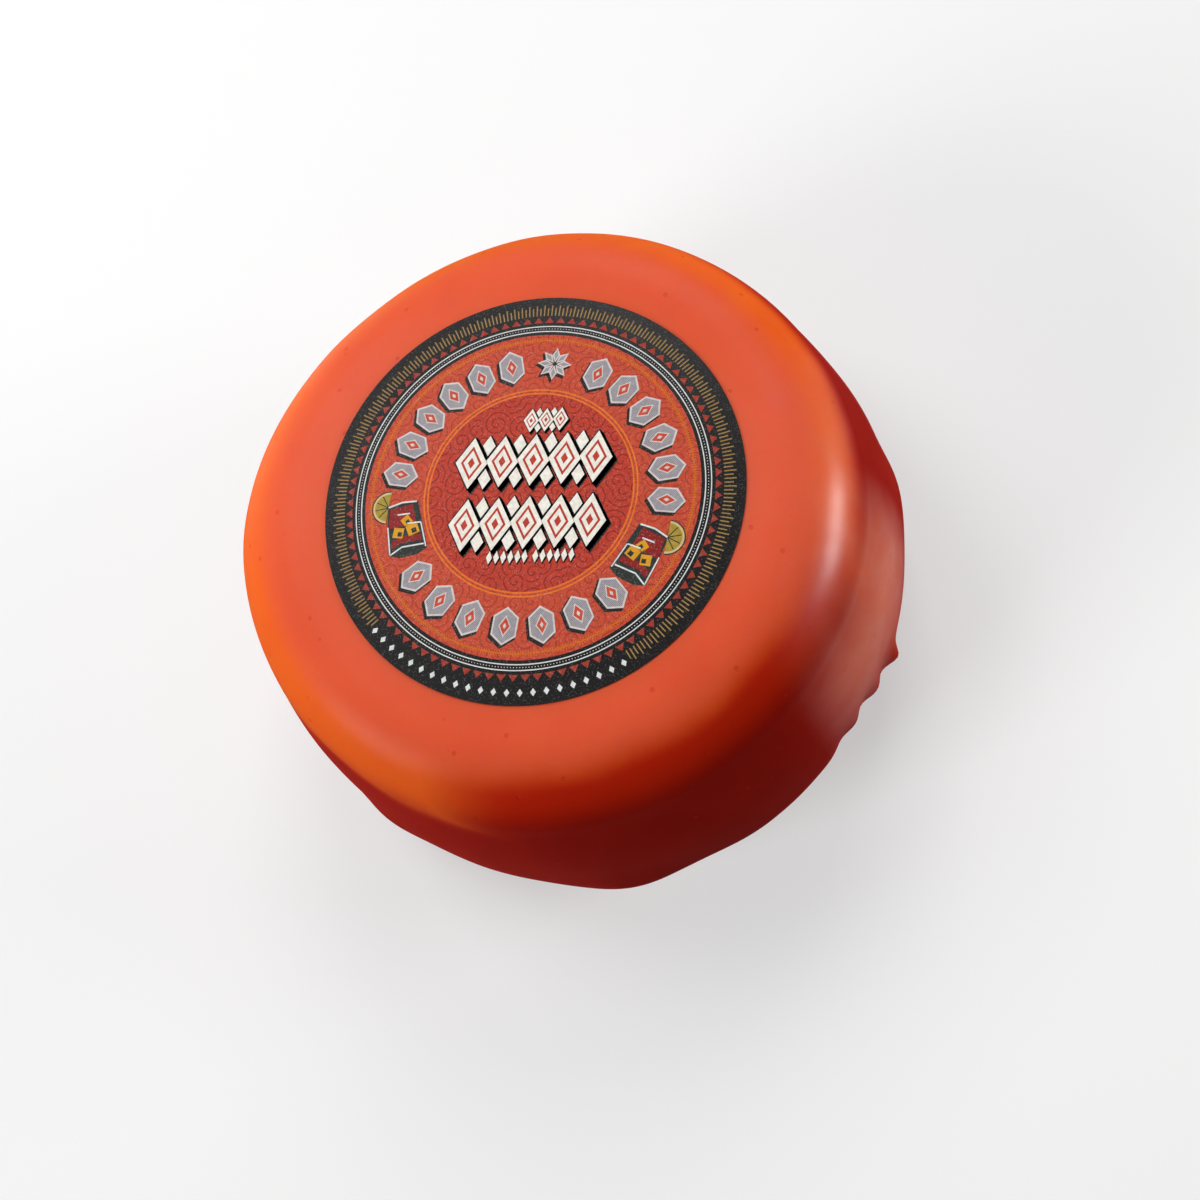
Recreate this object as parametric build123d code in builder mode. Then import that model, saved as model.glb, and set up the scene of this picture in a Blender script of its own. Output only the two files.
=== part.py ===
"""A small round cheddar truckle in orange wax, with a round paper label on its flat top.

Millimetres, +Z up. The origin is the middle of the underside, and the label's print
reads upright along +Y. Azimuths are degrees anticlockwise from +X, seen from above.
"""

import os
from math import cos, exp, pi, radians, sin

from build123d import *

# The waxed cheese
waist_diameter = 84.4
cheese_height = 37.2
waist_height = 9.0

# The label, stuck on by hand a little off the middle of the flat top
label_diameter = 50.0
label_thickness = 0.2
label_centre = (0.35, -0.3)

# Bare flat wax round the label, the shoulder, and the wall that leans in up to it
flat_margin = 3.0
shoulder_drop = 10.5
shoulder_sweep = 80.0
wall_lean = 3.9

# The foot, where soft wax ran down and set on the tray
foot_inset = 2.9
foot_height = 1.5
sole_inset = 1.3
crease_depth = 0.7
lump_top = 15.0

# Wander of the outline round the waist: (crests in a turn, swing, azimuth of a crest)
outline_waves = (
    (2, 0.35, 0.0),
    (3, 0.28, 66.0),
    (4, 0.32, 0.0),
)

# Wax that gathered at the foot: (azimuth, reach outwards, half width in degrees)
foot_lumps = (
    (-127.0, 2.1, 9.0),
    (-80.0, 1.9, 9.0),
    (-52.0, 0.6, 10.0),
    (-23.0, 0.7, 8.0),
    (14.0, 1.9, 9.0),
    (58.0, 1.1, 14.0),
    (97.0, 1.6, 8.0),
    (129.0, 0.7, 10.0),
    (166.0, 1.5, 12.0),
    (-158.0, 0.9, 8.0),
)

points_in_outline = 60

waist_radius = waist_diameter / 2
flat_radius = label_diameter / 2 + flat_margin
foot_radius = waist_radius - foot_inset
sweep = radians(shoulder_sweep)
wall_top_radius = waist_radius - wall_lean
wall_top_height = cheese_height - shoulder_drop * (1 - cos(sweep))
shoulder_reach = (wall_top_radius - flat_radius) / sin(sweep)


def smooth(share):
    """Ease a share from 0 to 1 with no kink at either end."""
    share = min(max(share, 0.0), 1.0)
    return share * share * (3 - 2 * share)


def wander(azimuth):
    """How far the waist lies outside a true circle at one azimuth, in radians."""
    return sum(
        swing * cos(crests * (azimuth - radians(crest)))
        for crests, swing, crest in outline_waves
    )


def pooled_wax(azimuth):
    """How far the foot reaches out past its plain radius at one azimuth, in radians."""
    total = 0.0
    for lump_azimuth, reach, half_width in foot_lumps:
        turn = (azimuth - radians(lump_azimuth) + pi) % (2 * pi) - pi
        total += reach * exp(-((turn / radians(half_width)) ** 2))
    return total


def shoulder_level(share):
    """Height, radius and share of wander on the shoulder, from the wall up to the flat."""
    angle = sweep * (1 - share)
    height = cheese_height - shoulder_drop * (1 - cos(angle))
    return height, flat_radius + shoulder_reach * sin(angle), sin(angle)


def wall_level(share):
    """Height, radius and share of wander on the wall, from the waist up to the shoulder."""
    height = waist_height + (wall_top_height - waist_height) * share
    return height, wall_top_radius + wall_lean * cos(share * pi / 2), 1.0


def tuck_level(share):
    """Height, radius and share of wander where the wall flows in to the foot."""
    height = foot_height + (waist_height - foot_height) * share
    radius = foot_radius + foot_inset * smooth(share)
    return height, radius - crease_depth * sin(pi * share) * (1 - share), 1.0


# Levels from the sole to the flat top
levels = [
    (0.0, foot_radius - sole_inset, 1.0),
    (foot_height * 0.3, foot_radius - sole_inset * 0.35, 1.0),
]
levels += [tuck_level(share) for share in (0.0, 0.2, 0.4, 0.65)]
levels += [wall_level(share) for share in (0.0, 0.15, 0.4, 0.7)]
levels += [shoulder_level(share) for share in (0.0, 0.13, 0.27, 0.42, 0.57, 0.72, 0.87, 1.0)]


def outline(height, radius, wander_share):
    """Points round the wax at one level."""
    lump_share = smooth((lump_top - height) / (lump_top - foot_height))
    points = []
    for step in range(points_in_outline):
        azimuth = 2 * pi * step / points_in_outline
        reach = radius + wander_share * wander(azimuth) + lump_share * pooled_wax(azimuth)
        points.append((reach * cos(azimuth), reach * sin(azimuth)))
    return points


# The wax coat is one skin with the cheese inside it, so the whole is one solid
with BuildPart() as waxed_truckle:
    for height, radius, wander_share in levels:
        with BuildSketch(Plane.XY.offset(height)):
            with BuildLine():
                Spline(*outline(height, radius, wander_share), periodic=True)
            make_face()
    loft()
waxed_truckle.part.label = "waxed_truckle"

# The label lies flat on the wax
with BuildPart() as label:
    with BuildSketch(Plane.XY.offset(cheese_height)):
        with Locations(label_centre):
            Circle(label_diameter / 2)
    extrude(amount=label_thickness)
label.part.label = "label"

os.makedirs("parts", exist_ok=True)
export_step(waxed_truckle.part, "parts/waxed_truckle.step")
export_step(label.part, "parts/label.step")
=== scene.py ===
# A small round cheddar truckle in orange-red wax, with a round printed paper label on its flat top.
# Metres, +Z up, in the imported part's own frame. Clock angles on the label run clockwise from +Y, in degrees.
import bpy
import bmesh
from math import atan2, cos, exp, hypot, pi, radians, sin, sqrt
from mathutils import Matrix, Vector, noise


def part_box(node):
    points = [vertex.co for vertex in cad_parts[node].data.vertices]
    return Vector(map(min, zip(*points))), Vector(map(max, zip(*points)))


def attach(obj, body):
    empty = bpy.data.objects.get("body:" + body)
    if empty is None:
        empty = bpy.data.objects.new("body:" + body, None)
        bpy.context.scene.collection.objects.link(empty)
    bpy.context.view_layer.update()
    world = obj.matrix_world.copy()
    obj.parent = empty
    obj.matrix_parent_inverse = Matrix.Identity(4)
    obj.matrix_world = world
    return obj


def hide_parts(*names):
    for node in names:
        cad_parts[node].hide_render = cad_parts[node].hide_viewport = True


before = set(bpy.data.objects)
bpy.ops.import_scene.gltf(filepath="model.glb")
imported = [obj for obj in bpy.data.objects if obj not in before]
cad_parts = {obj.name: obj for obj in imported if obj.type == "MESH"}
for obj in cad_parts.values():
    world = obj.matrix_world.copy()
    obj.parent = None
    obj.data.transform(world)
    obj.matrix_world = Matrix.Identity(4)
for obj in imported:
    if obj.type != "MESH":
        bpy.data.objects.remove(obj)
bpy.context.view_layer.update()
mm = 0.001

waxLow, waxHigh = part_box("waxed_truckle")
labelLow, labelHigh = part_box("label")
labelCentre = (labelLow + labelHigh) / 2
labelRadius = (labelHigh.x - labelLow.x) / 2
flatTop = labelLow.z
print("frame loaded: truckle", waxHigh - waxLow, "label radius", labelRadius)


# Shader maths: a socket that takes part in plain Python expressions
class Socket:
    def __init__(self, finish, output):
        self.finish = finish
        self.output = output

    def maths(self, operation, *values):
        return self.finish.add("ShaderNodeMath", {"operation": operation}, dict(enumerate(values)))

    def __add__(self, other):
        return self.maths("ADD", self, other)

    def __radd__(self, other):
        return self.maths("ADD", other, self)

    def __sub__(self, other):
        return self.maths("SUBTRACT", self, other)

    def __rsub__(self, other):
        return self.maths("SUBTRACT", other, self)

    def __mul__(self, other):
        return self.maths("MULTIPLY", self, other)

    def __rmul__(self, other):
        return self.maths("MULTIPLY", other, self)

    def __truediv__(self, other):
        return self.maths("DIVIDE", self, other)

    def __pow__(self, other):
        return self.maths("POWER", self, other)

    def ramp(self, start, end):  # 0 at start, 1 at end, eased between
        return self.finish.add("ShaderNodeMapRange", {"interpolation_type": "SMOOTHSTEP"},
                               {"Value": self, "From Min": start, "From Max": end})

    def larger(self, other):
        return self.maths("MAXIMUM", self, other)

    def sine(self):
        return self.maths("SINE", self)

    def angleWith(self, across):  # the direction of (across, self)
        return self.maths("ARCTAN2", self, across)


# The nodes of one material, or of the world
class Finish:
    def __init__(self, owner):
        self.owner = owner
        owner.use_nodes = True
        self.tree = owner.node_tree
        self.tree.nodes.clear()

    def add(self, kind, settings, values, output=0):
        node = self.tree.nodes.new(kind)
        for name, value in settings.items():
            setattr(node, name, value)
        for name, value in values.items():
            self.plug(node.inputs[name], value)
        return Socket(self, node.outputs[output]) if node.outputs else None

    @property
    def places(self):  # the object's own coordinates
        return self.add("ShaderNodeTexCoord", {}, {}, "Object")

    def plug(self, socket, value):
        if isinstance(value, Socket):
            self.tree.links.new(value.output, socket)
        else:
            socket.default_value = value

    def clouds(self, size, detail=3.0):  # soft noise about 0.5, its size in metres
        return self.add("ShaderNodeTexNoise", {}, {"Vector": self.places, "Scale": 1 / size, "Detail": detail})

    def blend(self, share, first, second):  # two colours
        return self.add("ShaderNodeMix", {"data_type": "RGBA"}, {0: share, 6: first, 7: second}, 2)

    def parts(self, vector):  # its three numbers
        return [self.add("ShaderNodeSeparateXYZ", {}, {0: vector}, axis) for axis in "XYZ"]

    def bump(self, height, distance):
        return self.add("ShaderNodeBump", {}, {"Height": height, "Distance": distance, "Strength": 1.0})

    def close(self, shader, kind="ShaderNodeOutputMaterial"):  # joins the shader to the output
        self.add(kind, {}, {"Surface": shader})
        return self.owner


def screenColour(red, green, blue):  # 0 to 255 as seen on a screen
    shares = [part / 255 for part in (red, green, blue)]
    return (*[share / 12.92 if share < 0.0405 else ((share + 0.055) / 1.055) ** 2.4 for share in shares], 1)


# Pieces
def makePiece(mesh, name, materials, smooth):
    bmesh.ops.recalc_face_normals(mesh, faces=mesh.faces)
    data = bpy.data.meshes.new(name)
    mesh.to_mesh(data)
    mesh.free()
    for material in materials:
        data.materials.append(material)
    for face in data.polygons:
        face.use_smooth = smooth
    piece = bpy.data.objects.new(name, data)
    bpy.context.collection.objects.link(piece)
    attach(piece, "root")
    print("piece made:", name, len(data.polygons), "faces")
    return piece


def eased(share):  # 0 to 1 with a soft start and end
    share = min(max(share, 0.0), 1.0)
    return share * share * (3 - 2 * share)


# The waxed truckle. Azimuths run anticlockwise from +X, in degrees.
truckle = {
    "waistRadius": 42.2 * mm, "waistHeight": 9.0 * mm,
    "flatMargin": 3.0 * mm,  # flat wax left round the label
    "shoulderDrop": 10.5 * mm, "shoulderSweep": radians(80), "wallLean": 3.9 * mm,
    "footInset": 2.9 * mm, "footHeight": 1.5 * mm, "soleInset": 1.3 * mm, "creaseDepth": 0.7 * mm,
    "waves": ((2, 0.35, 0), (3, 0.28, 66), (4, 0.32, 0)),  # crests, swing in mm, azimuth of a crest
    "lumpTop": 15.0 * mm,  # pooled wax fades out at this height
    "lumps": (  # azimuth, reach in mm, half width of each pool
        (-127, 2.1, 9), (-80, 1.9, 9), (-52, 0.6, 10), (-23, 0.7, 8), (14, 1.9, 9), (58, 1.1, 14),
        (97, 1.6, 8), (129, 0.7, 10), (166, 1.5, 12), (-158, 0.9, 8),
    ),
    "drips": (  # azimuth, reach, half width, height and half height of each bead or notch, in degrees and mm
        (-18.5, 0.90, 1.7, 8.5, 1.6), (-22.3, -0.60, 1.8, 8, 4.5), (-28.8, -0.95, 2.4, 8, 5),
        (-35.5, -0.55, 2.6, 8, 5), (-93, 0.5, 3.0, 1, 2.5), (-103, -0.4, 2.2, 3, 3), (-141, -0.7, 5, 6, 6),
    ),
    "creases": (  # azimuth, half width, height and depth of each fine crease, in degrees and mm
        (-96, 15, 4.2, 0.35), (-88, 12, 2.6, 0.30), (-70, 10, 5.5, 0.22), (-28, 9, 5.0, 0.25),
    ),
    "creaseSway": 0.8, "creaseHalfHeight": 0.5,  # mm
    "ripple": 0.13 * mm, "rippleSize": 13 * mm,  # hand-dipped unevenness
    "flow": 0.15 * mm, "flowSize": 9 * mm, "flowStretch": 6,  # runs of wax down the wall
    "turns": 480,  # faces round the truckle
    "rows": {"sole": 10, "foot": 6, "tuck": 40, "wall": 24, "shoulder": 34, "flat": 12},
    "nearAxis": 1e-6,  # closer than this to the axis counts as on it
}
wallTopRadius = truckle["waistRadius"] - truckle["wallLean"]
flatRadius = labelRadius + truckle["flatMargin"]
footRadius = truckle["waistRadius"] - truckle["footInset"]
soleRadius = footRadius - truckle["soleInset"]
wallTopHeight = flatTop - truckle["shoulderDrop"] * (1 - cos(truckle["shoulderSweep"]))


# Radius and height on each part of the side, for a share of the way from its lower end to its upper end
def soleLevel(share):
    return soleRadius * share, 0.0


def footLevel(share):
    reach = truckle["soleInset"] * sin(share * pi / 2)
    return soleRadius + reach, truckle["footHeight"] * (1 - cos(share * pi / 2))


def tuckLevel(share):
    crease = truckle["creaseDepth"] * sin(pi * share) * (1 - share)
    height = truckle["footHeight"] + (truckle["waistHeight"] - truckle["footHeight"]) * share
    return footRadius + truckle["footInset"] * eased(share) - crease, height


def wallLevel(share):
    height = truckle["waistHeight"] + (wallTopHeight - truckle["waistHeight"]) * share
    return wallTopRadius + truckle["wallLean"] * cos(share * pi / 2), height


def shoulderLevel(share):
    angle = truckle["shoulderSweep"] * (1 - share)
    reach = (wallTopRadius - flatRadius) / sin(truckle["shoulderSweep"])
    return flatRadius + reach * sin(angle), flatTop - truckle["shoulderDrop"] * (1 - cos(angle))


def flatLevel(share):
    return flatRadius * (1 - share), flatTop


def truckleProfile():
    levels = {"sole": soleLevel, "foot": footLevel, "tuck": tuckLevel, "wall": wallLevel,
              "shoulder": shoulderLevel, "flat": flatLevel}
    points = [levels[name](step / rows) for name, rows in truckle["rows"].items() for step in range(rows)]
    return points + [(0.0, flatTop)]


def turnsFrom(azimuth, place, half):  # how far round from a place, the short way, in its half widths
    return ((azimuth - radians(place) + pi) % (2 * pi) - pi) / radians(half)


def wanderAt(azimuth):  # the slow waves that every level shares
    return sum(swing * mm * cos(crests * (azimuth - radians(crest)))
               for crests, swing, crest in truckle["waves"])


def pooledAt(azimuth):  # wax that pooled round the foot
    return sum(reach * mm * exp(-(turnsFrom(azimuth, place, half) ** 2))
               for place, reach, half in truckle["lumps"])


def nickedAt(azimuth, height):  # beads and notches out or in, and fine creases in, with the height in mm
    nicked = 0.0
    for place, reach, half, middle, halfHeight in truckle["drips"]:
        turn = turnsFrom(azimuth, place, half)
        climb = (height - middle) / halfHeight
        nicked += reach * mm * exp(-turn * turn - climb * climb)
    for place, half, middle, depth in truckle["creases"]:
        turn = turnsFrom(azimuth, place, half)
        climb = (height - middle - truckle["creaseSway"] * sin(turn * 2)) / truckle["creaseHalfHeight"]
        nicked -= depth * mm * exp(-turn ** 4 - climb * climb)
    return nicked


def handMade(point):  # how far the wax stands out from a true round here, in metres
    azimuth = atan2(point.y, point.x)
    fade = eased((truckle["lumpTop"] - point.z) / (truckle["lumpTop"] - truckle["footHeight"]))
    share = 1.0  # it dies away over the shoulder and towards the middle of the sole
    if point.z > wallTopHeight:
        share = sqrt(max(0.0, 1 - (1 - (flatTop - point.z) / truckle["shoulderDrop"]) ** 2))
    if point.z <= 0:
        share = hypot(point.x, point.y) / soleRadius
    soft = noise.noise(point / truckle["rippleSize"]) * truckle["ripple"]
    stretched = Vector((point.x, point.y, point.z / truckle["flowStretch"]))
    run = noise.noise(stretched / truckle["flowSize"]) * truckle["flow"]
    shaped = wanderAt(azimuth) + fade * pooledAt(azimuth) + nickedAt(azimuth, point.z / mm)
    return share * (shaped + soft + run)


def makeTruckle(material):
    mesh = bmesh.new()
    points = [mesh.verts.new((radius, 0, height)) for radius, height in truckleProfile()]
    edges = [mesh.edges.new(pair) for pair in zip(points, points[1:])]
    bmesh.ops.spin(mesh, geom=points + edges, angle=2 * pi, steps=truckle["turns"], axis=(0, 0, 1),
                   cent=(0, 0, 0), use_merge=True)
    bmesh.ops.remove_doubles(mesh, verts=mesh.verts, dist=truckle["nearAxis"])
    for vertex in mesh.verts:
        reach = hypot(vertex.co.x, vertex.co.y)
        if reach > truckle["nearAxis"]:
            vertex.co.xy *= 1 + handMade(vertex.co) / reach
    piece = makePiece(mesh, "waxedTruckle", [material], True)
    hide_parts("waxed_truckle")


# The wax: tones as seen, each coming in between two heights
wax = {
    "top": screenColour(234, 95, 60), "shoulder": screenColour(240, 98, 32),
    # the deep tone is partly painted shade on the walls, and the foot tone is painted shade on the shaded
    # sides
    "deep": screenColour(198, 36, 10), "foot": screenColour(148, 15, 4),
    "shoulderFrom": 36.9 * mm, "shoulderTo": 35.0 * mm,
    "deepFrom": 34.5 * mm, "deepTo": 23 * mm,  # redder and darker down the wall: thicker wax there, and partly painted shade on the walls
    # painted shade on the sides that lie in shade, reaching over the shoulder: azimuth, half width in full,
    # half width at most, two heights
    "paintedShade": (
        (-57, 33, 54, 36.9 * mm, 34.6 * mm),
        (24, 14, 56, 34.4 * mm, 31.3 * mm),
        (-112, 14, 44, 31 * mm, 26 * mm),
    ),
    "darkestShadeFrom": 34.2 * mm, "darkestShadeTo": 30 * mm,  # darkest painted shade of all below that
    "mottleSize": 9 * mm, "mottleFrom": 0.35, "mottleTo": 0.70, "mottleShare": 0.10,
    "uneven": 4 * mm, "unevenShade": 0.3,  # how far the mottle shifts a tone's edge, and its share in the painted shade
    "grainSize": 0.7 * mm, "grainDetail": 2.0,
    "pitSize": 3.4 * mm, "pitRim": 0.11, "pitFloor": 0.05, "pitShare": 0.35,
    "roughness": 0.50, "roughMottle": 0.16, "roughGrain": 0.08,
    "reliefMottle": 0.25, "reliefGrain": 0.02, "reliefPit": 0.10, "reliefDepth": 0.5 * mm,
    "index": 1.44, "coatIndex": 1.45,
    "subsurface": 0.5, "glow": (1.0, 0.12, 0.03), "glowDepth": 3.5 * mm,
    "wallGloss": 0.05, "gloss": 0.08, "glossMottle": 0.06, "glossFrom": 33 * mm, "glossTo": 36 * mm,
    "glossRoughness": 0.33,
    # rubbed patches: azimuth, half width, foot and top height, soft edge, shine, and how far the deep tone is
    # lifted there, a painted highlight
    "rubbed": (
        (-2, 24, 32.5 * mm, 37 * mm, 2.2 * mm, 0.80, 0.0),
        (-17, 16, 13 * mm, 30 * mm, 9 * mm, 0.72, 0.75),
        (157, 28, 34 * mm, 36 * mm, 2.2 * mm, 0.40, 0.0),
        (-88, 26, 1 * mm, 7 * mm, 3 * mm, 0.30, 0.15),
    ),
    "rubbedFull": 0.3, "rubbedNone": 1.5,  # where a patch starts to fade and ends, in its half widths
    "smearSize": 4.5 * mm, "smearLeast": 0.4, "smearSwing": 1.2,  # the patches' shine is smeared
}


def waxFinish():
    finish = Finish(bpy.data.materials.new("orangeWax"))
    across, along, height = finish.parts(finish.places)
    reach = (across * across + along * along + 1e-9) ** 0.5  # never quite zero
    mottle = finish.clouds(wax["mottleSize"])
    grain = finish.clouds(wax["grainSize"], wax["grainDetail"])
    pits = finish.add("ShaderNodeTexVoronoi", {}, {"Vector": finish.places, "Scale": 1 / wax["pitSize"]})
    pit = pits.ramp(wax["pitRim"], wax["pitFloor"])

    def facing(azimuth, full, none):  # 1 within full degrees of the azimuth, 0 beyond none
        share = (across * cos(radians(azimuth)) + along * sin(radians(azimuth))) / reach
        return share.ramp(cos(radians(none)), cos(radians(full)))

    # how deep the wax lies, partly painted shade down the walls, and the painted shade on the sides that lie
    # in shade
    uneven = (mottle - 0.5) * wax["uneven"]
    depth = (height + uneven).ramp(wax["deepFrom"], wax["deepTo"])
    paintedShade = 0.0
    for azimuth, full, none, low, high in wax["paintedShade"]:
        side = facing(azimuth, full, none)
        paintedShade = side.larger(paintedShade)
        depth = depth.larger(side * (height + uneven * wax["unevenShade"]).ramp(low, high))

    # shine, with the rubbed patches, where a paler tone is a painted highlight
    smear = wax["smearLeast"] + finish.clouds(wax["smearSize"]) * wax["smearSwing"]
    topGloss = wax["gloss"] + (mottle - 0.5) * wax["glossMottle"]
    gloss = wax["wallGloss"] + topGloss * height.ramp(wax["glossFrom"], wax["glossTo"])
    for azimuth, half, foot, top, soft, shine, paintedHighlight in wax["rubbed"]:
        rubbed = facing(azimuth, half * wax["rubbedFull"], half * wax["rubbedNone"])
        rubbed = rubbed * height.ramp(foot - soft, foot + soft) * height.ramp(top + soft, top - soft)
        gloss = gloss + rubbed * shine * smear
        # painted highlight: the deep tone lifted in the patches
        depth = depth * (1 - rubbed * paintedHighlight)

    body = finish.blend(height.ramp(wax["shoulderFrom"], wax["shoulderTo"]), wax["top"], wax["shoulder"])
    # the deep tone: thicker wax down the wall, and partly painted shade
    body = finish.blend(depth, body, wax["deep"])
    # painted shade: the darkest tone low on the shaded sides
    darkestShade = depth * paintedShade * height.ramp(wax["darkestShadeFrom"], wax["darkestShadeTo"])
    body = finish.blend(darkestShade, body, wax["foot"])
    mottled = mottle.ramp(wax["mottleFrom"], wax["mottleTo"]) * wax["mottleShare"]
    body = finish.blend(mottled, body, wax["deep"])
    body = finish.blend(pit * wax["pitShare"], body, wax["deep"])
    roughness = wax["roughness"] + (mottle - 0.5) * wax["roughMottle"] + (grain - 0.5) * wax["roughGrain"]
    relief = grain * wax["reliefGrain"] + mottle * wax["reliefMottle"] - pit * wax["reliefPit"]
    return finish.close(finish.add("ShaderNodeBsdfPrincipled", {}, {
        "Base Color": body, "Roughness": roughness, "Normal": finish.bump(relief, wax["reliefDepth"]),
        "IOR": wax["index"], "Specular IOR Level": 0.0,  # the coat alone shines
        "Coat Weight": gloss, "Coat Roughness": wax["glossRoughness"], "Coat IOR": wax["coatIndex"],
        "Subsurface Weight": wax["subsurface"], "Subsurface Radius": wax["glow"],
        "Subsurface Scale": wax["glowDepth"],
    }))


makeTruckle(waxFinish())

# The label's print: thin layers of ink on the paper. Radii, widths and lengths are shares of the label's
# radius, and each layer's foot and top are heights in mm above the label's underside.
layers = {"paper": (0.0, 0.130), "field": (0.11, 0.140), "line": (0.12, 0.148), "shade": (0.12, 0.156),
          "edge": (0.12, 0.164), "fill": (0.12, 0.172), "eye": (0.12, 0.180), "glint": (0.12, 0.188),
          "spark": (0.12, 0.194)}
roundTurns = 240  # faces round the paper and the rings


def layerHeights(layer):
    return [flatTop + height * mm for height in layers[layer]]


def onLabel(share, clock):  # a place on the label from its radius share and clock angle
    return Vector((sin(radians(clock)), cos(radians(clock)))) * share


def placing(place, clock, across, along, layer):  # moves, turns and stretches a unit shape into its layer
    low, high = layerHeights(layer)
    centre = labelCentre.xy + place * labelRadius
    return (Matrix.Translation((*centre, (low + high) / 2)) @ Matrix.Rotation(radians(-clock), 4, "Z")
            @ Matrix.Diagonal((across, along, high - low, 1)))


def tile(mesh, sides, place, width, length, clock, layer):  # a flat prism whose first corner points outwards
    matrix = placing(place, clock, width * labelRadius / 2, length * labelRadius / 2, layer)
    bmesh.ops.create_cone(mesh, cap_ends=True, segments=sides, radius1=1, radius2=1, depth=1, matrix=matrix)


def bar(mesh, place, width, length, clock, layer):  # a straight stroke
    matrix = placing(place, clock, width * labelRadius, length * labelRadius, layer)
    bmesh.ops.create_cube(mesh, size=1, matrix=matrix)


def ring(mesh, inner, outer, layer):
    low, high = layerHeights(layer)
    corners = [mesh.verts.new((labelCentre.x + share * labelRadius, labelCentre.y, height))
               for share, height in ((inner, low), (outer, low), (outer, high), (inner, high))]
    edges = [mesh.edges.new((corner, corners[index - 1])) for index, corner in enumerate(corners)]
    bmesh.ops.spin(mesh, geom=corners + edges, angle=2 * pi, steps=roundTurns, axis=(0, 0, 1),
                   cent=(labelCentre.x, labelCentre.y, 0), use_merge=True)


def patch(mesh, corners, layer, material=0):  # a flat shape from its corners, given as shares
    low, high = layerHeights(layer)
    spots = [labelCentre.xy + corner * labelRadius for corner in corners]
    face = mesh.faces.new([mesh.verts.new((*spot, low)) for spot in spots])
    raised = bmesh.ops.extrude_face_region(mesh, geom=[face])["geom"]
    lifted = [part for part in raised if isinstance(part, bmesh.types.BMVert)]
    bmesh.ops.translate(mesh, vec=(0, 0, high - low), verts=lifted)
    faces = {part for part in raised if isinstance(part, bmesh.types.BMFace)}
    for part in faces | {part for corner in face.verts for part in corner.link_faces}:
        part.material_index = material


def stroke(mesh, start, end, width, layer, material=0):  # a straight line between two places
    side = (end - start).normalized().orthogonal() * width / 2
    patch(mesh, [start - side, end - side, end + side, start + side], layer, material)


# Inks: the tone as seen, with the paper's fibre and a fine light speckle in it
inks = {
    "black": (22, 20, 20), "fieldRed": (208, 78, 50), "heartRed": (196, 60, 40), "curlRed": (120, 30, 26),
    "orange": (240, 122, 34), "gold": (168, 134, 78), "tooth": (164, 58, 42), "white": (236, 238, 236),
    "cream": (255, 249, 238), "silver": (184, 178, 182), "silverLine": (128, 124, 130),
    "edge": (226, 216, 214), "shade": (30, 20, 18), "glass": (38, 44, 40), "drink": (142, 30, 26),
    "amber": (232, 164, 26), "citrus": (178, 150, 52), "pith": (222, 198, 140),
}
ink = {
    "roughness": 0.46, "roughFibre": 0.2, "specular": 0.12,
    "fibreSize": 0.5 * mm, "fibreShare": 0.5, "fibreLeast": 0.10,  # how much it darkens the tone
    "speckSize": 0.16 * mm, "speckFrom": 0.60, "speckTo": 0.80, "speckShare": 0.10,
    "reliefFibre": 0.6, "reliefSpeck": 0.4, "reliefDepth": 0.02 * mm,
    "curlSize": 2.4 * mm, "curlSpread": 0.8, "curlPitch": 0.75 * mm,  # each curl's room, and its line's pitch
    "curlFrom": 0.55, "curlTo": 0.95,
    "hatchPitch": 0.22 * mm, "hatchFrom": -0.4, "hatchTo": 0.9,
}


def curlLines(finish):  # scroll-like curls, each wound round its own middle
    where = {"Vector": finish.places, "Scale": 1 / ink["curlSize"], "Randomness": ink["curlSpread"]}
    middle = finish.add("ShaderNodeTexVoronoi", {"voronoi_dimensions": "2D"}, where, "Position")
    offset = finish.add("ShaderNodeVectorMath", {"operation": "SUBTRACT"}, {0: finish.places, 1: middle})
    across, along, _ = finish.parts(offset)
    reach = (across * across + along * along) ** 0.5
    wave = (reach * (2 * pi / ink["curlPitch"]) + along.angleWith(across)).sine()
    return wave.ramp(ink["curlFrom"], ink["curlTo"])


def hatchLines(finish):  # fine engraver's lines
    across, along, _ = finish.parts(finish.places)
    wave = ((across + along) * (2 * pi / ink["hatchPitch"])).sine()
    return wave.ramp(ink["hatchFrom"], ink["hatchTo"])


def inkFinish(name, toneName, pattern=None, patternTone=None, patternShare=1.0, speck=ink["speckShare"]):
    finish = Finish(bpy.data.materials.new(name))
    tone = screenColour(*inks[toneName])
    fibre = finish.clouds(ink["fibreSize"])
    specks = finish.clouds(ink["speckSize"], 0.0)
    if pattern:
        tone = finish.blend(pattern(finish) * patternShare, tone, screenColour(*inks[patternTone]))
    shaded = (fibre - 0.5) * ink["fibreShare"] + ink["fibreLeast"]
    tone = finish.blend(shaded, tone, screenColour(*inks["black"]))
    speckled = specks.ramp(ink["speckFrom"], ink["speckTo"]) * speck
    tone = finish.blend(speckled, tone, screenColour(*inks["white"]))
    relief = fibre * ink["reliefFibre"] + specks * ink["reliefSpeck"]
    return finish.close(finish.add("ShaderNodeBsdfPrincipled", {}, {
        "Base Color": tone, "Roughness": ink["roughness"] + (fibre - 0.5) * ink["roughFibre"],
        "Normal": finish.bump(relief, ink["reliefDepth"]), "Specular IOR Level": ink["specular"],
    }))


paper = {"edgeRound": 0.03 * mm, "edgeRows": 2, "speck": 0.07}


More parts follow.
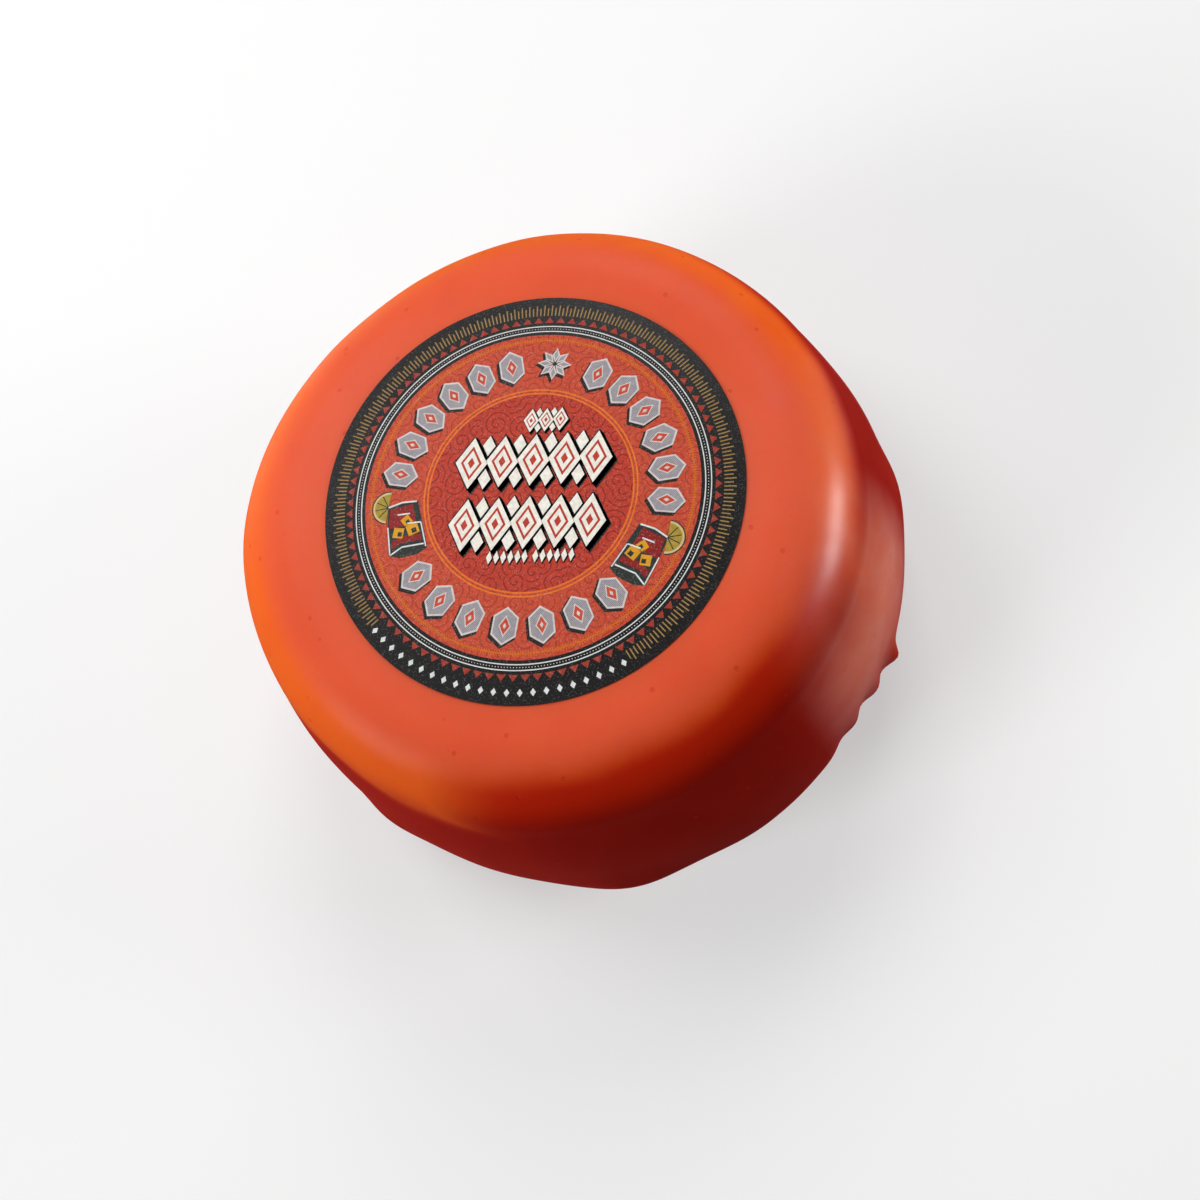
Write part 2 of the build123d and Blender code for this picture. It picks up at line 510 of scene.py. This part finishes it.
def makePaper():
    mesh = bmesh.new()
    tile(mesh, roundTurns, Vector((0, 0)), 2, 2, 0, "paper")  # twice the radius is the whole label
    rims = [edge for edge in mesh.edges if len(edge.link_faces) == 2
            and max(len(face.verts) for face in edge.link_faces) > 4]
    bmesh.ops.bevel(mesh, geom=rims, offset=paper["edgeRound"], segments=paper["edgeRows"], profile=0.5,
                    affect="EDGES", material=-1)
    material = inkFinish("blackInk", "black", speck=paper["speck"])
    piece = makePiece(mesh, "labelPaper", [material], True)
    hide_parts("label")


def makePrint(mesh, name, *materials):  # one piece of print, in one or more inks
    makePiece(mesh, name, list(materials), False)


# Border: gold ticks, red teeth, white beading and the pips that take the place of the fine print
border = {
    "ticks": 312, "tickFoot": 0.9015, "longTick": 0.957, "shortTick": 0.943, "tickWidth": 0.0056,
    "pips": 22, "pipFrom": 150.4, "pipTo": 227.1, "pipMargin": 1.8,  # clock angles, clear of the ticks
    "pipRing": 0.9435, "pipWidth": 0.026, "pipLength": 0.036,
    "teeth": 99, "toothFoot": 0.863, "toothTip": 0.894, "toothShare": 0.82,
    "whiteLines": (0.844, 0.8175), "whiteLineWidth": 0.0050,
    "beads": 372, "beadRing": 0.8308, "beadWidth": 0.0046,
}


def makeTicks():
    mesh = bmesh.new()
    for index in range(border["ticks"]):
        clock = (index + 0.5) * 360 / border["ticks"]
        if border["pipFrom"] - border["pipMargin"] < clock < border["pipTo"] + border["pipMargin"]:
            continue
        tip = border["longTick"] if index % 2 else border["shortTick"]
        middle = (border["tickFoot"] + tip) / 2
        bar(mesh, onLabel(middle, clock), border["tickWidth"], tip - border["tickFoot"], clock, "line")
    makePrint(mesh, "goldTicks", inkFinish("goldInk", "gold"))


def makeTeeth():
    mesh = bmesh.new()
    pitch = 2 * pi / border["teeth"] * border["toothFoot"]
    # a three-sided tile covers three quarters of its length and sin 60 of its width
    length = (border["toothTip"] - border["toothFoot"]) / 0.75
    width = pitch * border["toothShare"] / (sqrt(3) / 2)
    for index in range(border["teeth"]):
        clock = index * 360 / border["teeth"]
        tile(mesh, 3, onLabel(border["toothFoot"] + length / 4, clock), width, length, clock, "line")
    makePrint(mesh, "redTeeth", inkFinish("toothInk", "tooth"))


def makeBeading():
    mesh = bmesh.new()
    half = border["whiteLineWidth"] / 2
    for middle in border["whiteLines"]:
        ring(mesh, middle - half, middle + half, "line")
    for index in range(border["beads"]):
        clock = index * 360 / border["beads"]
        place = onLabel(border["beadRing"], clock)
        tile(mesh, 6, place, border["beadWidth"], border["beadWidth"], clock, "line")
    makePrint(mesh, "whiteBeading", inkFinish("whiteInk", "white"))


def makePips():
    mesh = bmesh.new()
    for index in range(border["pips"]):
        clock = border["pipFrom"] + (border["pipTo"] - border["pipFrom"]) * index / (border["pips"] - 1)
        place = onLabel(border["pipRing"], clock)
        tile(mesh, 4, place, border["pipWidth"], border["pipLength"], clock, "line")
    makePrint(mesh, "whitePips", inkFinish("pipInk", "white"))


# Red fields with their curls, and the orange lines on them
fields = {
    "outer": 0.7985, "heart": 0.484, "heartSides": 180, "outerCurls": 0.45, "heartCurls": 0.7,
    "orangeRings": ((0.769, 0.008), (0.508, 0.0075), (0.490, 0.0075)),  # radius, width
    "hatchCount": 396, "hatchFoot": 0.756, "hatchTip": 0.782, "hatchWidth": 0.0026,
}


def makeFields():
    mesh = bmesh.new()
    ring(mesh, fields["heart"], fields["outer"], "field")
    makePrint(mesh, "redField", inkFinish("fieldInk", "fieldRed", curlLines, "curlRed", fields["outerCurls"]))
    mesh = bmesh.new()
    tile(mesh, fields["heartSides"], Vector((0, 0)), 2 * fields["heart"], 2 * fields["heart"], 0, "field")
    makePrint(mesh, "redHeart", inkFinish("heartInk", "heartRed", curlLines, "curlRed", fields["heartCurls"]))


def makeOrangeLines():
    mesh = bmesh.new()
    for middle, width in fields["orangeRings"]:
        ring(mesh, middle - width / 2, middle + width / 2, "line")
    middle = (fields["hatchFoot"] + fields["hatchTip"]) / 2
    length = fields["hatchTip"] - fields["hatchFoot"]
    for index in range(fields["hatchCount"]):
        clock = index * 360 / fields["hatchCount"]
        bar(mesh, onLabel(middle, clock), fields["hatchWidth"], length, clock, "line")
    makePrint(mesh, "orangeLines", inkFinish("orangeInk", "orange"))


# Silver plaques round the outer field, each with an edge line, a dark shade and a red eye with a spark in it
plaques = {
    "ring": 0.6455, "width": 0.136, "length": 0.178, "edge": 0.009,
    "runs": ((280.3, 13.8, 6), (28, 13.8, 6), (141.5, 15.2, 7)),  # first clock angle, step, how many
    "shade": (-0.009, -0.011),
    "fillInset": (2, 2.4), "eyeEdge": (1.4, 2.2),  # across and along, in edge lines
    "eyeWidth": 0.046, "eyeLength": 0.080, "spark": 0.36,
    "rosetteClock": 8.1, "petals": 8, "petalReach": 0.046, "petalWidth": 0.038, "petalLength": 0.076,
}


def makePlaques():
    shades, edges, fills, eyes = [bmesh.new() for _ in range(4)]
    rim = plaques["edge"]
    shift = Vector(plaques["shade"])
    insetAcross, insetAlong = plaques["fillInset"]

    def plaque(sides, place, width, length, clock):  # a silver shape with its edge and shade
        tile(shades, sides, place + shift, width + rim, length + rim, clock, "shade")
        tile(edges, sides, place, width, length, clock, "edge")
        tile(fills, sides, place, width - insetAcross * rim, length - insetAlong * rim, clock, "fill")

    def eye(place, clock):  # a red diamond with a pale edge and a pale spark
        width, length, spark = plaques["eyeWidth"], plaques["eyeLength"], plaques["spark"]
        edgeAcross, edgeAlong = plaques["eyeEdge"]
        tile(edges, 4, place, width + edgeAcross * rim, length + edgeAlong * rim, clock, "eye")
        tile(eyes, 4, place, width, length, clock, "glint")
        tile(edges, 4, place, width * spark, length * spark, clock, "spark")

    for first, pitch, count in plaques["runs"]:
        for step in range(count):
            clock = first + pitch * step
            plaque(6, onLabel(plaques["ring"], clock), plaques["width"], plaques["length"], clock)
            eye(onLabel(plaques["ring"], clock), clock)
    centre = onLabel(plaques["ring"], plaques["rosetteClock"])
    for index in range(plaques["petals"]):
        turn = index * 360 / plaques["petals"] + plaques["rosetteClock"]
        petal = centre + onLabel(plaques["petalReach"], turn)
        plaque(4, petal, plaques["petalWidth"], plaques["petalLength"], turn)
    makePrint(shades, "plaqueShades", inkFinish("plaqueShadeInk", "shade"))
    makePrint(edges, "plaqueEdges", inkFinish("edgeInk", "edge"))
    makePrint(fills, "silverPlaques", inkFinish("silverInk", "silver", hatchLines, "silverLine"))
    makePrint(eyes, "plaqueEyes", inkFinish("plaqueEyeInk", "fieldRed"))


# Cream lozenge bands in the middle: a small row above two big rows, and two runs of tiny lozenges below
bands = {
    "rows": (  # left end, right end, low, high, how many
        (-0.045, 0.169, 0.293, 0.410, 3), (-0.364, 0.384, 0.026, 0.278, 5), (-0.377, 0.364, -0.282, -0.030, 5),
    ),
    "fullHeight": 0.25,  # a row of this height has lines at full width, a lower row has finer ones
    "slant": 5, "wide": 1.04, "long": 1.02, "outline": 0.014, "outlineLong": 1.6,
    "shade": (0.019, -0.020), "shadeSteps": 4,
    "lineShare": 0.66, "innerShare": 0.50, "eyeShare": 0.22,
    "smallShare": 0.40, "smallRise": 0.33, "smallLines": 0.6,  # the lozenges between
    "tinyRuns": ((-0.190, 6), (0.028, 6)),  # left end, how many
    "tinyPitch": 0.0335, "tinyWidth": 0.028, "tinyLow": -0.350, "tinyHigh": -0.286, "tinyLines": 0.25,
}


def makeBands():
    shades, creams, reds = [bmesh.new() for _ in range(3)]
    slant = bands["slant"]
    shift = Vector(bands["shade"])

    def lozenge(place, width, length, size):  # a cream lozenge with its outline and drop shade
        outline = bands["outline"] * size
        for step in range(bands["shadeSteps"] + 1):
            spot = place + shift * size * step / bands["shadeSteps"]
            tile(shades, 4, spot, width + outline, length + outline * bands["outlineLong"], slant, "shade")
        tile(creams, 4, place, width, length, slant, "fill")

    def bigLozenge(place, width, length, size):  # with a red inner line and eye
        lozenge(place, width, length, size)
        for share, layer, target in ((bands["lineShare"], "eye", reds), (bands["innerShare"], "glint", creams),
                                     (bands["eyeShare"], "spark", reds)):
            tile(target, 4, place, width * share, length * share, slant, layer)

    for left, right, low, high, count in bands["rows"]:
        pitch = (right - left) / count
        middle = (low + high) / 2
        size = (high - low) / bands["fullHeight"]
        width, length = pitch * bands["wide"], (high - low) * bands["long"]
        for index in range(count):
            bigLozenge(Vector((left + pitch * (index + 0.5), middle)), width, length, size)
        for index in range(1, count):
            for side in (-1, 1):
                rise = (high - low) * bands["smallRise"] * side
                place = Vector((left + pitch * index + rise * sin(radians(slant)), middle + rise))
                lozenge(place, width * bands["smallShare"], length * bands["smallShare"],
                        size * bands["smallLines"])
    tinyMiddle = (bands["tinyLow"] + bands["tinyHigh"]) / 2
    for left, count in bands["tinyRuns"]:
        for index in range(count):
            place = Vector((left + bands["tinyPitch"] * (index + 0.5), tinyMiddle))
            lozenge(place, bands["tinyWidth"], bands["tinyHigh"] - bands["tinyLow"], bands["tinyLines"])
    makePrint(shades, "bandShades", inkFinish("bandShadeInk", "shade"))
    makePrint(creams, "creamBands", inkFinish("creamInk", "cream"))
    makePrint(reds, "bandEyes", inkFinish("bandEyeInk", "heartRed"))


# Two drinks tumblers with a citrus slice on the rim, drawn upright about their own middle. A shape's corners
# are given across and up, anticlockwise, and a hand of -1 mirrors them.
tumbler = {
    "places": ((Vector((-0.589, -0.154)), -11, 1), (Vector((0.529, -0.327)), 29, -1)),  # middle, lean, hand
    "topHalf": 0.070, "footHalf": 0.088, "height": 0.238,
    "cubes": (  # middle across and up, side, turn
        (0.034, -0.012, 0.056, 12), (-0.036, -0.018, 0.050, -18), (0.010, 0.034, 0.044, 30),
    ),
    "facetAcross": 0.12, "facetUp": -0.16, "facetShare": 0.42,  # the dark facet, in shares of the cube's side
    "sliceRadius": 0.077, "sliceTurn": 72, "sliceSteps": 14, "segments": 5, "segmentWidth": 0.0045,
    "sliceLayers": (("shade", 0, 0.006), ("edge", 1, 0.0), ("fill", 2, -0.010)),  # layer, ink, wider by
    "segmentInset": 0.012,
}


def glassCorners(top, foot, half):
    return [(-foot - 0.006, -half), (-foot / 2, -half - 0.022), (foot / 2, -half - 0.022),
            (foot + 0.006, -half), (top + 0.006, half), (0, half + 0.014), (-top - 0.006, half)]


def drinkCorners(top, foot, half):  # the drink, and the lit drink under the ice
    return ([(-top * 0.9, half - 0.012), (-foot * 0.93, 0.012), (foot * 0.62, 0.012),
             (top * 0.72, half - 0.008)],
            [(-foot * 0.86, -half + 0.030), (-foot * 0.3, -half + 0.048), (foot * 0.84, -half + 0.044),
             (foot * 0.80, -half + 0.072), (0, -half + 0.082), (-foot * 0.84, -half + 0.066)])


def glintLines(top, foot, half):  # white lines on the glass: start, end, width
    return (
        ((-top, half), (0, half + 0.010), 0.008), ((0, half + 0.010), (top, half), 0.008),
        ((foot * 0.88, 0.012), (foot, -half + 0.006), 0.006), ((-foot * 0.95, 0.020), (-foot, -half), 0.006),
        ((-foot, -half), (-foot * 0.3, -half + 0.028), 0.007),
        ((-foot * 0.3, -half + 0.028), (foot * 0.9, -half + 0.022), 0.007),
        ((0.012, 0.020), (foot * 0.86, 0.012), 0.007), ((-0.030, 0.072), (0.030, 0.066), 0.007),
    )


def cubeCorners(x, y, side, tilt):
    reach = side / 2 * sqrt(2)
    turns = [radians(tilt + 45 + 90 * corner) for corner in range(4)]
    return [(x + reach * cos(turn), y + reach * sin(turn)) for turn in turns]


def arcCorners(x, y, radius):  # half a citrus slice
    turns = [radians(tumbler["sliceTurn"] + 180 * step / tumbler["sliceSteps"])
             for step in range(tumbler["sliceSteps"] + 1)]
    return [(x + radius * cos(turn), y + radius * sin(turn)) for turn in turns]


def makeTumblers():
    glasses = bmesh.new()
    slices = bmesh.new()
    top, foot, half = tumbler["topHalf"], tumbler["footHalf"], tumbler["height"] / 2
    rim = (-top, half)
    for middle, lean, hand in tumbler["places"]:
        turn = Matrix.Rotation(radians(-lean), 2)

        def at(x, y):
            return middle + turn @ Vector((x * hand, y))

        def shape(mesh, corners, layer, material):
            ordered = corners if hand > 0 else corners[::-1]
            patch(mesh, [at(x, y) for x, y in ordered], layer, material)

        shape(glasses, glassCorners(top, foot, half), "shade", 0)
        for corners in drinkCorners(top, foot, half):
            shape(glasses, corners, "edge", 1)
        for x, y, side, tilt in tumbler["cubes"]:
            corners = cubeCorners(x, y, side, tilt)
            shape(glasses, corners, "fill", 2)
            facet = Vector((x, y)) + Vector((side * tumbler["facetAcross"], side * tumbler["facetUp"]))
            share = tumbler["facetShare"]
            shape(glasses, [(facet.x + (cornerX - x) * share, facet.y + (cornerY - y) * share)
                            for cornerX, cornerY in corners], "eye", 0)
        for start, end, width in glintLines(top, foot, half):
            stroke(glasses, at(*start), at(*end), width, "glint", 3)

        for layer, material, wider in tumbler["sliceLayers"]:
            shape(slices, arcCorners(*rim, tumbler["sliceRadius"] + wider), layer, material)
        reach = tumbler["sliceRadius"] - tumbler["segmentInset"]
        for step in range(1, tumbler["segments"]):
            angle = radians(tumbler["sliceTurn"] + 180 * step / tumbler["segments"])
            end = at(rim[0] + reach * cos(angle), rim[1] + reach * sin(angle))
            stroke(slices, at(*rim), end, tumbler["segmentWidth"], "eye")
    makePrint(glasses, "tumblers", inkFinish("glassInk", "glass"), inkFinish("drinkInk", "drink"),
              inkFinish("amberInk", "amber"), inkFinish("glintInk", "white"))
    makePrint(slices, "citrusSlices", inkFinish("sliceShadeInk", "glass"), inkFinish("pithInk", "pith"),
              inkFinish("citrusInk", "citrus"))


makePaper()
makeTicks()
makeTeeth()
makeBeading()
makePips()
makeFields()
makeOrangeLines()
makePlaques()
makeBands()
makeTumblers()

# Floor, light and camera
studio = {
    "floorSize": 4.0, "floorTone": 0.95,
    "bounceTone": 0.22,  # what the floor sends back up on to the wax
    "floorWhite": 0.45,  # share of the floor by the truckle that is plain white
    "fadeFrom": 0.12, "fadeTo": 0.9,  # distances over which the rest turns white too
    "ambient": 0.02,
    "lamps": (  # name, azimuth, elevation, distance, width, height, watts
        ("leftKey", 145, 54, 0.35, 0.17, 0.17, 0.50),
        ("rightKey", 88, 38, 1.2, 0.6, 0.6, 6.2),
        ("leftLow", 214, 22, 1.2, 0.5, 0.5, 9.2),
        ("rightLow", 9, 13, 0.6, 0.25, 0.14, 1.8),
    ),
}
viewpoint = {
    "place": Vector((39.70, -51.47, 163.84)) * mm, "turn": (30.48, 21.8, -31.1),  # degrees about Z, X and Z
    "lens": 36.93, "sensor": 36, "shift": (-0.0375, -0.0433), "nearest": 0.005,
}
white = (1, 1, 1, 1)


def rayShare(finish):  # 1 where the eye, a reflection or a clear piece looks, 0 for light on the object
    eye, gloss, clear = [finish.add("ShaderNodeLightPath", {}, {}, name)
                         for name in ("Is Camera Ray", "Is Glossy Ray", "Is Transmission Ray")]
    return eye.larger(gloss.larger(clear))


def floorFinish():
    finish = Finish(bpy.data.materials.new("paleFloor"))
    bounced, seen = [(studio[tone],) * 3 + (1,) for tone in ("bounceTone", "floorTone")]
    plain = finish.add("ShaderNodeBsdfDiffuse", {}, {"Color": finish.blend(rayShare(finish), bounced, seen)})
    lit = finish.add("ShaderNodeEmission", {}, {"Color": white, "Strength": 1.0})
    across, along, _ = finish.parts(finish.places)
    away = ((across * across + along * along) ** 0.5).ramp(studio["fadeFrom"], studio["fadeTo"])
    pale = away * (1 - studio["floorWhite"]) + studio["floorWhite"]
    shares = {0: rayShare(finish) * pale, 1: plain, 2: lit}
    return finish.close(finish.add("ShaderNodeMixShader", {}, shares))


def makeFloor():
    mesh = bmesh.new()
    bmesh.ops.create_grid(mesh, x_segments=1, y_segments=1, size=studio["floorSize"],
                          matrix=Matrix.Translation((0, 0, waxLow.z)))
    data = bpy.data.meshes.new("floor")
    mesh.to_mesh(data)
    mesh.free()
    data.materials.append(floorFinish())
    floor = bpy.data.objects.new("floor", data)
    bpy.context.collection.objects.link(floor)


def makeWorld():
    finish = Finish(bpy.data.worlds.new("studio"))
    level = studio["ambient"]
    background = finish.add("ShaderNodeBackground", {}, {
        "Color": white, "Strength": rayShare(finish) * (1 - level) + level})
    bpy.context.scene.world = finish.close(background, "ShaderNodeOutputWorld")


def makeLamps():
    centre = Vector((0, 0, (waxLow.z + waxHigh.z) / 2))
    for name, azimuth, elevation, distance, width, height, watts in studio["lamps"]:
        lamp = bpy.data.lights.new(name, "AREA")
        lamp.shape = "RECTANGLE"
        lamp.size = width
        lamp.size_y = height
        lamp.energy = watts
        holder = bpy.data.objects.new(name, lamp)
        turn, rise = radians(azimuth), radians(elevation)
        way = Vector((cos(turn) * cos(rise), sin(turn) * cos(rise), sin(rise)))
        holder.location = centre + way * distance
        holder.rotation_euler = way.to_track_quat("Z", "Y").to_euler()
        bpy.context.collection.objects.link(holder)


def makeCamera():
    camera = bpy.data.cameras.new("camera")
    camera.lens = viewpoint["lens"]
    camera.sensor_width = viewpoint["sensor"]
    camera.shift_x, camera.shift_y = viewpoint["shift"]
    camera.clip_start = viewpoint["nearest"]
    holder = bpy.data.objects.new("camera", camera)
    swing, tip, roll = [Matrix.Rotation(radians(angle), 4, axis)
                        for angle, axis in zip(viewpoint["turn"], "ZXZ")]
    holder.matrix_world = Matrix.Translation(viewpoint["place"]) @ swing @ tip @ roll
    bpy.context.collection.objects.link(holder)
    bpy.context.scene.camera = holder


makeFloor()
makeWorld()
makeLamps()
makeCamera()
bpy.context.scene.view_settings.view_transform = "Standard"
print("stage ready: floor, world, lamps and camera")
